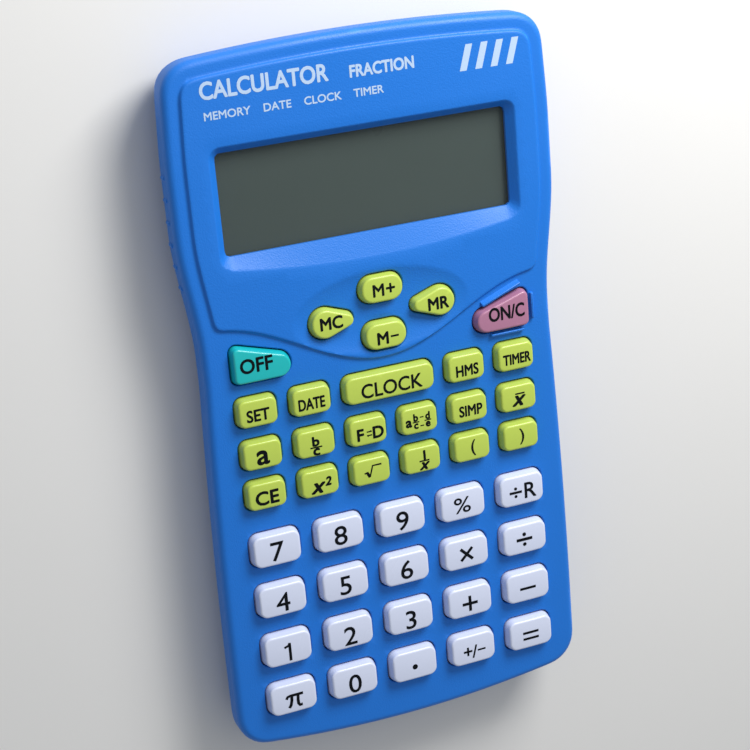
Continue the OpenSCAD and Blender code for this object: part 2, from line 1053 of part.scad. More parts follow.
front_case();
rear_case();
battery_cover();
display_window();
lcd_panel();
zebra_strip();
circuit_board();
key_mat();
chip_blob();
crystal();
smd_parts();
battery_cell();
battery_contact_positive();
battery_contact_negative();
case_screws();
board_screws();
rubber_feet();
key_off();
key_on_clear();
key_memory_plus();
key_memory_minus();
key_memory_recall();
key_memory_clear();
key_set();
key_date();
key_clock();
key_hms();
key_timer();
key_whole_part();
key_fraction();
key_fraction_decimal();
key_mixed_fraction();
key_simplify();
key_mean();
key_clear_entry();
key_square();
key_root();
key_reciprocal();
key_bracket_open();
key_bracket_close();
key_7();
key_8();
key_9();
key_percent();
key_remainder();
key_4();
key_5();
key_6();
key_times();
key_divide();
key_1();
key_2();
key_3();
key_plus();
key_minus();
key_pi();
key_0();
key_point();
key_sign();
key_equals();
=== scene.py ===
import math

import bmesh
import bpy
import numpy as np
from mathutils import Matrix, Vector
from mathutils.geometry import delaunay_2d_cdt


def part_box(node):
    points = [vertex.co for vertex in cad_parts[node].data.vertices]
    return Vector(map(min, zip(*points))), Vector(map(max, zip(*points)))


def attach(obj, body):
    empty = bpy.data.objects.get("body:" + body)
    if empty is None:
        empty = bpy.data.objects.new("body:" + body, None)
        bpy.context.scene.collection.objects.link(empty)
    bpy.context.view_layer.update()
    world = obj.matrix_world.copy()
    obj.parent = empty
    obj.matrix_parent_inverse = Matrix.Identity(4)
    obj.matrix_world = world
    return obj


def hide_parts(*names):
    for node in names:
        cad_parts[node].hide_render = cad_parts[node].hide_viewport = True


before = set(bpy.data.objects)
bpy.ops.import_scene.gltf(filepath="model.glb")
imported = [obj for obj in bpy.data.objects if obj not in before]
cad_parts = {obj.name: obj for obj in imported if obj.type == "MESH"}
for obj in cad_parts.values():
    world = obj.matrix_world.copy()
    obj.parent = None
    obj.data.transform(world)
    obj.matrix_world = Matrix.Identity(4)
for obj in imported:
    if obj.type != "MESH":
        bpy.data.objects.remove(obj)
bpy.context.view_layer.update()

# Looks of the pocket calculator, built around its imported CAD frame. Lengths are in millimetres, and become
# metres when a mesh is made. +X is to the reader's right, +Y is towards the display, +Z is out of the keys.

MM = 0.001
scene = bpy.context.scene

# ---- heights and shapes shared with the CAD ------------------------------------------------

CASE_LENGTH = 150.0
HEAD_WIDTH = 81.8
WAIST_WIDTH = 76.8
FOOT_WIDTH = 79.8
HEAD_TAPER = 0.6
HEAD_TAPER_Y = (52.0, 70.0)
SHOULDER_Y = (14.0, 40.0)
FOOT_FLARE_Y = 8.0
FOOT_FLARE_LENGTH = 66.0
BOW_HALF_X = 31.0
TOP_BOW = 1.2
BOTTOM_BOW = 2.0
FACE_Z = 12.4
PANEL_RISE = 0.6
PANEL_Z = FACE_Z + PANEL_RISE
ROOF_Z = 10.6
SEAM_Z = 7.25
EDGE_RADIUS = 1.6
GUARD_RISE = 1.0
CORNER_TOP = 6.5
CORNER_BOTTOM = 7.0
HOLE_GAP = 0.28
FLANGE_REACH = 0.65
FLANGE_LOW_Z = 9.6
FLANGE_HIGH_Z = 10.5
KEY_DRAFT = 0.3


# ---- small tools -----------------------------------------------------------------------------

def ease(t):
    t = min(1.0, max(0.0, t))
    return t * t * (3.0 - 2.0 * t)


def ease_array(t):
    t = np.clip(t, 0.0, 1.0)
    return t * t * (3.0 - 2.0 * t)


def half_width(y):
    """Half of the case's width at y: wide head, narrow waist and flared foot."""
    out = 1.0 - min(1.0, max(0.0, (FOOT_FLARE_Y - y) / FOOT_FLARE_LENGTH))
    shoulder = ease((y - SHOULDER_Y[0]) / (SHOULDER_Y[1] - SHOULDER_Y[0]))
    taper = ease((y - HEAD_TAPER_Y[0]) / (HEAD_TAPER_Y[1] - HEAD_TAPER_Y[0]))
    return (WAIST_WIDTH / 2 + (HEAD_WIDTH - WAIST_WIDTH) / 2 * shoulder
            + (FOOT_WIDTH - WAIST_WIDTH) / 2 * (1.0 - out * out) - HEAD_TAPER * taper)


def top_y(x):
    return CASE_LENGTH / 2 - TOP_BOW * (x / BOW_HALF_X) ** 2


def bottom_y(x):
    return -CASE_LENGTH / 2 + BOTTOM_BOW * (x / BOW_HALF_X) ** 2


def resample(points, step):
    """Points evenly spaced about step apart along a closed line."""
    p = np.asarray(points, float)
    closed = np.vstack([p, p[:1]])
    lengths = np.hypot(*np.diff(closed, axis=0).T)
    along = np.concatenate([[0.0], np.cumsum(lengths)])
    count = max(8, int(round(along[-1] / step)))
    at = np.linspace(0.0, along[-1], count, endpoint=False)
    return np.stack([np.interp(at, along, closed[:, 0]), np.interp(at, along, closed[:, 1])], 1)


def smooth_loop(points, rounds):
    p = np.asarray(points, float)
    for _ in range(rounds):
        p = 0.25 * np.roll(p, 1, 0) + 0.5 * p + 0.25 * np.roll(p, -1, 0)
    return p


def case_outline(step):
    """Closed outline of the case at its widest, counter-clockwise from the bottom middle."""
    low_x = FOOT_WIDTH / 2 - CORNER_BOTTOM
    low_y = bottom_y(low_x) + CORNER_BOTTOM
    high_x = HEAD_WIDTH / 2 - HEAD_TAPER - CORNER_TOP
    high_y = top_y(high_x) - CORNER_TOP
    quarter = np.linspace(0.0, math.pi / 2, 40)
    right = [(x, bottom_y(x)) for x in np.linspace(0.0, low_x, 40, endpoint=False)]
    right += [(low_x + CORNER_BOTTOM * math.sin(a), low_y - CORNER_BOTTOM * math.cos(a)) for a in quarter]
    right += [(half_width(y), y) for y in np.linspace(low_y, high_y, 200)[1:-1]]
    right += [(high_x + CORNER_TOP * math.cos(a), high_y + CORNER_TOP * math.sin(a)) for a in quarter]
    right += [(x, top_y(x)) for x in np.linspace(high_x, 0.0, 40)[1:]]
    left = [(-x, y) for x, y in right[-2:0:-1]]
    return smooth_loop(resample(right + left, step), 2)


def normals_of(loop):
    d = np.roll(loop, -1, 0) - np.roll(loop, 1, 0)
    n = np.stack([d[:, 1], -d[:, 0]], 1)
    return n / np.maximum(1e-9, np.hypot(n[:, 0], n[:, 1]))[:, None]


def inset(loop, distance):
    return loop - normals_of(loop) * distance


def distance_to(loop, points):
    """Distance of each point to a closed line, worked out a batch of points at a time."""
    batch = 2000
    d = np.roll(loop, -1, 0) - loop
    dd = np.maximum(1e-12, (d * d).sum(1))
    best = np.zeros(len(points))
    for k in range(0, len(points), batch):
        rel = points[k:k + batch, None, :] - loop[None, :, :]
        t = np.clip((rel * d[None]).sum(2) / dd[None], 0.0, 1.0)
        gap = rel - t[..., None] * d[None]
        best[k:k + batch] = np.sqrt((gap * gap).sum(2).min(1))
    return best


def inside(loop, points):
    """True for each point that lies within a closed line."""
    x, y = points[:, 0][:, None], points[:, 1][:, None]
    x0, y0 = loop[:, 0][None], loop[:, 1][None]
    x1, y1 = np.roll(loop[:, 0], -1)[None], np.roll(loop[:, 1], -1)[None]
    crosses = (y0 > y) != (y1 > y)
    with np.errstate(divide="ignore", invalid="ignore"):
        at = x0 + (y - y0) * (x1 - x0) / (y1 - y0)
    return (crosses & (x < at)).sum(1) % 2 == 1


def round_outline(circles, grow, count):
    """The outer line around circles (x, y, radius), each grown by grow, as evenly spaced points."""
    c = np.asarray(circles, float)
    around = 720
    a = (np.arange(around) + 0.5) * 2 * math.pi / around
    side = np.stack([np.cos(a), np.sin(a)], 1)
    reach = side @ c[:, :2].T + c[:, 2][None]
    pick = c[reach.argmax(1)]
    base, normal = even_points(pick[:, :2] + pick[:, 2:3] * side, side, count)
    return base + grow * normal


def even_points(points, sides, count):
    """Evenly spaced points along a closed line, with the outward direction at each."""
    closed = np.vstack([points, points[:1]])
    along = np.concatenate([[0.0], np.cumsum(np.hypot(*np.diff(closed, axis=0).T))])
    at = np.linspace(0.0, along[-1], count, endpoint=False)
    both = np.hstack([closed, np.vstack([sides, sides[:1]])])
    mixed = np.stack([np.interp(at, along, both[:, k]) for k in range(4)], 1)
    out = mixed[:, 2:] / np.hypot(mixed[:, 2], mixed[:, 3])[:, None]
    return mixed[:, :2], out


class Shape:
    """Collects points and faces, in millimetres, and makes a mesh object from them."""

    def __init__(self):
        self.points = []
        self.faces = []

    def ring(self, loop, z):
        first = len(self.points)
        z = np.broadcast_to(z, (len(loop),))
        self.points += [(float(x), float(y), float(h)) for (x, y), h in zip(loop, z)]
        return list(range(first, first + len(loop)))

    def point(self, x, y, z):
        self.points.append((float(x), float(y), float(z)))
        return len(self.points) - 1

    def bridge(self, a, b):
        n = len(a)
        for i in range(n):
            j = (i + 1) % n
            self.faces.append((a[i], a[j], b[j], b[i]))

    def stack(self, rings):
        for a, b in zip(rings[:-1], rings[1:]):
            self.bridge(a, b)

    def closed_stack(self, rings):
        self.stack(rings)
        self.faces.append(tuple(rings[-1]))
        self.faces.append(tuple(rings[0][::-1]))

    def fan(self, ring, centre):
        n = len(ring)
        for i in range(n):
            self.faces.append((ring[i], ring[(i + 1) % n], centre))

    def make(self, name, material, body, slot, sharp_deg=38.0):
        mesh = bpy.data.meshes.new(name)
        mesh.from_pydata([(x * MM, y * MM, z * MM) for x, y, z in self.points], [], self.faces)
        mesh.validate()
        return dress(mesh, name, material, body, slot, sharp_deg)


def dress(mesh, name, material, body, slot, sharp_deg=38.0):
    """Links a mesh as a piece on a body, smooth except at its real corners."""
    mesh.update()
    smooth_faces(mesh, sharp_deg)
    mesh.materials.clear()
    mesh.materials.append(material)
    piece = bpy.data.objects.new(name, mesh)
    scene.collection.objects.link(piece)
    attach(piece, body)
    return piece


def smooth_faces(mesh, sharp_deg):
    mesh.polygons.foreach_set("use_smooth", np.ones(len(mesh.polygons), bool))
    normals = np.empty(len(mesh.polygons) * 3, np.float32)
    mesh.polygons.foreach_get("normal", normals)
    normals = normals.reshape(-1, 3)
    loop_edges = np.empty(len(mesh.loops), np.int32)
    mesh.loops.foreach_get("edge_index", loop_edges)
    totals = np.empty(len(mesh.polygons), np.int32)
    mesh.polygons.foreach_get("loop_total", totals)
    loop_faces = np.repeat(np.arange(len(mesh.polygons)), totals)
    order = np.argsort(loop_edges, kind="stable")
    edges, faces = loop_edges[order], loop_faces[order]
    same = edges[1:] == edges[:-1]
    turn = (normals[faces[1:]] * normals[faces[:-1]]).sum(1)
    sharp = np.zeros(len(mesh.edges), bool)
    sharp[edges[1:][same & (turn < math.cos(math.radians(sharp_deg)))]] = True
    mesh.edges.foreach_set("use_edge_sharp", sharp)
    mesh.update()


# ---- materials ---------------------------------------------------------------------------------

def linear(r, g, b):
    """A display colour of 0 to 255 as linear light."""
    out = []
    for v in (r, g, b):
        v = v / 255.0
        out.append(v / 12.92 if v <= 0.04045 else ((v + 0.055) / 1.055) ** 2.4)
    return (*out, 1.0)


PATCH_SCALE = 38.0
PATCH_ROUGHNESS = 0.06
EDGE_POINTINESS = (0.54, 0.62)


def noise(nodes, links, place, scale, detail):
    """Procedural noise in the object's own space."""
    made = nodes.new("ShaderNodeTexNoise")
    made.inputs["Scale"].default_value = scale
    made.inputs["Detail"].default_value = detail
    links.new(place.outputs["Object"], made.inputs["Vector"])
    return made


def halved(nodes, links, source):
    made = nodes.new("ShaderNodeMath")
    made.operation = "MULTIPLY"
    made.inputs[1].default_value = 0.5
    links.new(source.outputs["Fac"], made.inputs[0])
    return made


def scaled_colour(colour, factor, add=0.0):
    return tuple(min(1.0, c * factor + add) for c in colour[:3]) + (1.0,)


def pale_edges(nodes, links, colour, amount, colour_out):
    """The colour, paler where the surface bends outwards sharply: a painted highlight along rounded edges.
    """
    bend = nodes.new("ShaderNodeNewGeometry")
    ramp = nodes.new("ShaderNodeMapRange")
    ramp.inputs["From Min"].default_value = EDGE_POINTINESS[0]
    ramp.inputs["From Max"].default_value = EDGE_POINTINESS[1]
    ramp.inputs["To Max"].default_value = amount
    links.new(bend.outputs["Pointiness"], ramp.inputs["Value"])
    sheen_mix = nodes.new("ShaderNodeMix")
    sheen_mix.data_type = "RGBA"
    sheen_mix.inputs["B"].default_value = scaled_colour(colour, 1.5, 0.03)
    links.new(ramp.outputs["Result"], sheen_mix.inputs["Factor"])
    links.new(colour_out, sheen_mix.inputs["A"])
    return sheen_mix.outputs["Result"]


def plastic(name, colour, roughness, grain, bump, vary, coat=0.0, metallic=0.0, specular=0.5, edge_sheen=0.0):
    """Moulded or plated surface: fine grain in the bump, soft patches in roughness and colour, and
    optionally a painted highlight that pales sharp edges.
    """
    mat = bpy.data.materials.new(name)
    mat.use_nodes = True
    nodes, links = mat.node_tree.nodes, mat.node_tree.links
    shader = nodes["Principled BSDF"]
    shader.inputs["Metallic"].default_value = metallic
    shader.inputs["Specular IOR Level"].default_value = specular
    shader.inputs["Coat Weight"].default_value = coat
    shader.inputs["Coat Roughness"].default_value = 0.15
    place = nodes.new("ShaderNodeTexCoord")
    patches = noise(nodes, links, place, PATCH_SCALE, 5.0)
    fine = noise(nodes, links, place, grain, 3.0)

    rough = nodes.new("ShaderNodeMapRange")
    rough.inputs["From Min"].default_value = 0.3
    rough.inputs["From Max"].default_value = 0.7
    rough.inputs["To Min"].default_value = max(0.03, roughness - PATCH_ROUGHNESS)
    rough.inputs["To Max"].default_value = min(1.0, roughness + PATCH_ROUGHNESS)
    links.new(patches.outputs["Fac"], rough.inputs["Value"])
    links.new(rough.outputs["Result"], shader.inputs["Roughness"])

    tint = nodes.new("ShaderNodeMix")
    tint.data_type = "RGBA"
    tint.inputs["A"].default_value = scaled_colour(colour, 1.0 - vary)
    tint.inputs["B"].default_value = scaled_colour(colour, 1.0 + vary)
    both = nodes.new("ShaderNodeMath")
    both.operation = "ADD"
    links.new(halved(nodes, links, fine).outputs[0], both.inputs[0])
    links.new(halved(nodes, links, patches).outputs[0], both.inputs[1])
    links.new(both.outputs[0], tint.inputs["Factor"])
    colour_out = tint.outputs["Result"]
    # Paler sharp edges here are a painted highlight, not real wear.
    if edge_sheen > 0.0:
        colour_out = pale_edges(nodes, links, colour, edge_sheen, colour_out)
    links.new(colour_out, shader.inputs["Base Color"])

    relief = nodes.new("ShaderNodeBump")
    relief.inputs["Strength"].default_value = bump
    relief.inputs["Distance"].default_value = 0.0002
    links.new(fine.outputs["Fac"], relief.inputs["Height"])
    links.new(relief.outputs["Normal"], shader.inputs["Normal"])
    return mat


# name, colour, roughness, grain of the fine noise, bump and how much the colour varies
# The paler edges asked for on the case and on the lime, teal and rose keys are a painted highlight on their
# rounded edges.
BLUE = plastic("case_blue", linear(24, 113, 206), 0.44, 3200.0, 0.30, 0.05, specular=0.38, edge_sheen=0.35)
WHITE = plastic("key_white", linear(214, 220, 240), 0.30, 1100.0, 0.05, 0.02, coat=0.15)
LIME = plastic("key_lime", linear(186, 206, 84), 0.34, 1100.0, 0.06, 0.04, coat=0.1, edge_sheen=0.15)
TEAL = plastic("key_teal", linear(24, 182, 182), 0.32, 1100.0, 0.06, 0.04, coat=0.1, edge_sheen=0.15)
ROSE = plastic("key_rose", linear(172, 117, 144), 0.34, 1100.0, 0.06, 0.05, coat=0.1, edge_sheen=0.15)
INK = plastic("legend_ink", linear(10, 14, 18), 0.6, 2500.0, 0.1, 0.2, specular=0.1)
PRINT = plastic("case_print", linear(178, 200, 226), 0.4, 2500.0, 0.1, 0.05)
RUBBER = plastic("black_rubber", linear(34, 34, 36), 0.75, 1800.0, 0.3, 0.12, specular=0.3)
STEEL = plastic("screw_steel", linear(176, 178, 182), 0.32, 2200.0, 0.1, 0.08, metallic=1.0)
NICKEL = plastic("contact_nickel", linear(196, 190, 170), 0.28, 2200.0, 0.08, 0.06, metallic=1.0)
CELL = plastic("cell_can", linear(190, 190, 188), 0.25, 1500.0, 0.06, 0.05, metallic=1.0)
BOARD = plastic("board_lacquer", linear(30, 96, 46), 0.35, 1200.0, 0.08, 0.12, coat=0.3)
EPOXY = plastic("potting_drop", linear(20, 20, 22), 0.2, 900.0, 0.08, 0.15)
CHIPS = plastic("chip_parts", linear(150, 120, 88), 0.5, 1500.0, 0.1, 0.1)
STRIP = plastic("zebra_rubber", linear(196, 132, 150), 0.6, 1500.0, 0.1, 0.08)
DISPLAY = plastic("display_grey", linear(62, 73, 68), 0.32, 4200.0, 0.03, 0.12, specular=0.25)
CLEAR = plastic("window_clear", linear(120, 128, 128), 0.10, 500.0, 0.004, 0.01, specular=0.4)
CLEAR.node_tree.nodes["Principled BSDF"].inputs["Alpha"].default_value = 0.06


# ---- key shapes ----------------------------------------------------------------------------------

def plate_circles(width, height, corner):
    """The corner circles (x, y, radius) of a rounded rectangle."""
    x, y = width / 2 - corner, height / 2 - corner
    return [(side * x, end * y, corner) for side in (-1, 1) for end in (-1, 1)]


def mirrored(circles):
    return [(-x, y, r) for x, y, r in circles]


KEY_EDGE = 0.5
KEY_POINTS = 96
NUMBER_CROWN = 0.22
SMALL_CROWN = 0.16
CROWN_ACROSS = 0.6
CROWN_ALONG = 0.9
LEGEND_LIFT = 0.02
NUMBER = plate_circles(10.8, 7.4, 2.0)
SMALL = plate_circles(8.7, 6.3, 1.7)
WIDE = plate_circles(20.2, 6.3, 2.0)
OVAL = plate_circles(9.5, 6.0, 2.8)
DROP = [(-1.55, 0.0, 3.25), (3.2, 0.0, 1.6)]
POWER = [(4.85, 2.6, 1.4), (4.85, -2.6, 1.4), (-3.55, -1.3, 2.7)]

number_names = ["key_7", "key_8", "key_9", "key_percent", "key_remainder",
                "key_4", "key_5", "key_6", "key_times", "key_divide",
                "key_1", "key_2", "key_3", "key_plus", "key_minus",
                "key_pi", "key_0", "key_point", "key_sign", "key_equals"]
small_names = ["key_set", "key_date", "key_hms", "key_timer", "key_whole_part", "key_fraction",
               "key_fraction_decimal", "key_mixed_fraction", "key_simplify", "key_mean", "key_clear_entry",
               "key_square", "key_root", "key_reciprocal", "key_bracket_open", "key_bracket_close"]

key_styles = {name: (NUMBER, WHITE, "key_white") for name in number_names}
key_styles.update({name: (SMALL, LIME, "key_lime") for name in small_names})
key_styles.update({
    "key_clock": (WIDE, LIME, "key_lime"),
    "key_memory_plus": (OVAL, LIME, "key_lime"),
    "key_memory_minus": (OVAL, LIME, "key_lime"),
    "key_memory_clear": (DROP, LIME, "key_lime"),
    "key_memory_recall": (mirrored(DROP), LIME, "key_lime"),
    "key_off": (mirrored(POWER), TEAL, "key_teal"),
    "key_on_clear": (POWER, ROSE, "key_rose"),
})


class Key:
    """Where a key is, from its CAD node, and the height of its slightly crowned top."""

    def __init__(self, node):
        self.node = node
        self.circles, self.material, self.slot = key_styles[node]
        low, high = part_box(node)
        self.top = high.z / MM
        spots = np.asarray(self.circles)
        least = (spots[:, :2] - spots[:, 2:]).min(0)
        most = (spots[:, :2] + spots[:, 2:]).max(0)
        off = (least + most) / 2
        self.x = (low.x + high.x) / 2 / MM - off[0]
        self.y = (low.y + high.y) / 2 / MM - off[1]
        self.half = (most - least) / 2
        self.off = off
        self.crown = NUMBER_CROWN if self.circles is NUMBER else SMALL_CROWN

    def outline(self, grow, count):
        return round_outline(self.circles, grow, count) + (self.x, self.y)

    def surface(self, points):
        """Height of the key's top at points given from the key's middle."""
        p = (np.asarray(points, float) - self.off) / self.half
        fall = p[:, 0] ** 2 * CROWN_ACROSS + p[:, 1] ** 2 * CROWN_ALONG
        return self.top - self.crown * np.clip(fall, 0.0, 2.0)


keys = {name: Key(name) for name in key_styles}


def make_key(key):
    """One key cap: flange, drafted wall, rounded edge and crowned top."""
    count = KEY_POINTS
    edge = KEY_EDGE
    shape = Shape()
    rings = [shape.ring(key.outline(FLANGE_REACH, count), FLANGE_LOW_Z),
             shape.ring(key.outline(FLANGE_REACH, count), FLANGE_HIGH_Z),
             shape.ring(key.outline(0.0, count), FLANGE_HIGH_Z),
             shape.ring(key.outline(0.0, count), FACE_Z - 0.2)]
    rim = key.outline(-KEY_DRAFT - edge, count)
    rim_z = key.surface(rim - (key.x, key.y))
    side_z = rim_z - edge
    for t in (0.25, 0.6, 1.0):
        rings.append(shape.ring(key.outline(-KEY_DRAFT * t, count), FACE_Z + (side_z - FACE_Z) * t))
    steps = 6
    for i in range(1, steps + 1):
        a = math.pi / 2 * i / steps
        grow = -KEY_DRAFT - edge * (1 - math.cos(a))
        rings.append(shape.ring(key.outline(grow, count), side_z + edge * math.sin(a)))
    middle = np.array([key.x, key.y]) + key.off
    for scale in (0.96, 0.86, 0.7, 0.5, 0.3, 0.12):
        loop = middle + (rim - middle) * scale
        rings.append(shape.ring(loop, key.surface(loop - (key.x, key.y))))
    shape.stack(rings)
    shape.fan(rings[-1], shape.point(*middle, key.surface([key.off])[0]))
    shape.fan(rings[0][::-1], shape.point(*middle, FLANGE_LOW_Z))
    piece = shape.make(key.node + "_cap", key.material, key.node, key.slot)
    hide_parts(key.node)


for key in keys.values():
    make_key(key)


# ---- legends ---------------------------------------------------------------------------------------

def word(body, size, bold=0.0, slant=0.0, squeeze=1.0):
    """Flat mesh of a piece of text, centred on the middle of its box, in millimetres."""
    curve = bpy.data.curves.new("legend", "FONT")
    curve.body = body
    curve.size = size
    curve.shear = slant
    curve.resolution_u = 4
    holder = bpy.data.objects.new("legend", curve)
    scene.collection.objects.link(holder)
    bpy.context.view_layer.update()
    flat = bpy.data.meshes.new_from_object(holder.evaluated_get(bpy.context.evaluated_depsgraph_get()))
    co = np.array([v.co[:2] for v in flat.vertices])
    co[:, 0] *= squeeze
    faces = [tuple(p.vertices) for p in flat.polygons]
    bpy.data.objects.remove(holder)
    bpy.data.meshes.remove(flat)
    bpy.data.curves.remove(curve)
    return thicker(finer((co - (co.min(0) + co.max(0)) / 2, faces)), bold)


def thicker(part, reach, layer=0.003):
    """The part with copies all round it, which thickens its lines. Each copy lies a hair above the last."""
    if reach == 0.0:
        return part
    co, faces = part
    count = 8
    around = [2 * math.pi * k / count for k in range(count)]
    steps = [(reach * math.cos(a), reach * math.sin(a), layer * k) for k, a in enumerate(around)]
    spots = np.vstack([co + step for step in steps])
    return spots, [tuple(i + k * len(co) for i in face) for k in range(count) for face in faces]


def stroke(points, width):
    """Flat ribbon along a line, as points and faces."""
    p = np.asarray(points, float)
    d = np.gradient(p, axis=0)
    n = np.stack([-d[:, 1], d[:, 0]], 1)
    n /= np.hypot(n[:, 0], n[:, 1])[:, None]
    both = np.vstack([p + n * width / 2, p - n * width / 2])
    k = len(p)
    return finer((both, [(i + 1, i, k + i, k + i + 1) for i in range(k - 1)]))


def polygon(points):
    return finer((np.asarray(points, float), [tuple(range(len(points)))]))


def disc(radius, count=20):
    a = np.arange(count) * 2 * math.pi / count
    return polygon(np.stack([radius * np.cos(a), radius * np.sin(a)], 1))


def moved(part, x, y):
    return part[0] + (x, y, 0.0), part[1]


def bar(length, width, x=0.0, y=0.0):
    return stroke([(x - length / 2, y), (x, y), (x + length / 2, y)], width)


def finer(part, step=0.6):
    """The same flat part cut along a grid, so that it can follow a curved surface."""
    co, faces = part
    net = bmesh.new()
    spots = [net.verts.new((x, y, 0.0)) for x, y in co]
    for face in faces:
        if len(set(face)) > 2:
            try:
                net.faces.new([spots[i] for i in face])
            except ValueError:
                pass
    low, high = co.min(0), co.max(0)
    for axis, normal in ((0, (1.0, 0.0, 0.0)), (1, (0.0, 1.0, 0.0))):
        for at in np.arange(low[axis] + step / 2, high[axis], step):
            everything = net.verts[:] + net.edges[:] + net.faces[:]
            spot = [at * n for n in normal]
            bmesh.ops.bisect_plane(net, geom=everything, dist=1e-6, plane_co=spot, plane_no=normal)
    net.verts.index_update()
    flat = np.array([(v.co.x, v.co.y, 0.0) for v in net.verts])
    cut = [tuple(v.index for v in f.verts) for f in net.faces]
    net.free()
    return flat, cut


def print_on(key, parts, x=-0.1, y=-0.2):
    """Prints flat parts on a key's crowned top."""
    shape = Shape()
    for co, faces in parts:
        at = co[:, :2] + (x, y) + key.off
        z = key.surface(at) + LEGEND_LIFT + co[:, 2]
        first = len(shape.points)
        shape.points += [(key.x + px, key.y + py, pz) for (px, py), pz in zip(at, z)]
        shape.faces += [tuple(first + i for i in face) for face in faces]
    shape.make(key.node + "_legend", INK, key.node, key.slot)


def arrows(length, gap, width):
    """Two short arrows, one above the other, pointing apart."""
    head = 0.36
    parts = []
    for side in (1, -1):
        y = side * gap / 2
        parts.append(bar(length, width, 0.0, y))
        tip = side * length / 2
        barb = tip - side * head
        parts.append(polygon([(tip, y), (barb, y + side * head), (barb, y)][::side]))
    return parts


DIGIT = 6.0
BOLD = 0.045

# how far below the key's middle each digit is printed
DIGIT_DROP = {"7": 0.28, "8": 0.2, "9": 0.3,
              "4": 0.38, "5": 0.22, "6": 0.15,
              "1": 0.52, "2": 0.52, "3": 0.52,
              "0": 0.45}


def number_legends():
    for name in number_names:
        tail = name[4:]
        if tail.isdigit() and tail != "1":
            print_on(keys[name], [word(tail, DIGIT, bold=BOLD, squeeze=1.07)], -0.08, -DIGIT_DROP[tail])
    one = [bar(0.62, 4.1, 0.35), stroke([(-0.85, 1.15), (0.05, 1.45), (0.4, 2.0)], 0.52)]
    print_on(keys["key_1"], one, -0.1, -DIGIT_DROP["1"])
    print_on(keys["key_percent"], [word("%", 5.0, bold=0.035, squeeze=1.2)], -0.2, -0.05)
    print_on(keys["key_remainder"], [moved(word("÷", 6.0, bold=0.04), -1.75, 0.0),
                                     moved(word("R", 5.1, bold=0.07), 1.75, 0.0)], 0.2, -0.2)
    print_on(keys["key_times"], [word("×", 7.4, bold=0.02)], -0.05, -0.05)
    print_on(keys["key_divide"], [word("÷", 7.9, bold=0.02)], -0.2, 0.0)
    print_on(keys["key_plus"], [word("+", 7.5, bold=0.03)], -0.1, -0.3)
    print_on(keys["key_minus"], [bar(3.8, 0.6)], -0.1, -0.25)
    pi = [stroke([(-1.9, 0.75), (-1.6, 1.25), (-1.0, 1.4), (1.9, 1.4)], 0.62),
          stroke([(-0.65, 1.4), (-0.75, 0.2), (-1.0, -0.8), (-1.4, -1.4)], 0.68),
          stroke([(0.75, 1.4), (0.65, 0.0), (0.7, -0.8), (1.0, -1.25), (1.6, -1.2)], 0.68)]
    print_on(keys["key_pi"], pi, 0.15, -0.6)
    print_on(keys["key_point"], [disc(0.62)], -0.1, -0.35)
    print_on(keys["key_sign"], [moved(word("+", 4.0, bold=0.08), -1.6, 0.25), word("/", 4.2, bold=0.07),
                                bar(1.9, 0.42, 1.65, 0.1)], 0.15, -0.5)
    print_on(keys["key_equals"], [bar(3.8, 0.58, 0.0, 0.72), bar(3.8, 0.58, 0.0, -0.72)], -0.1, -0.3)


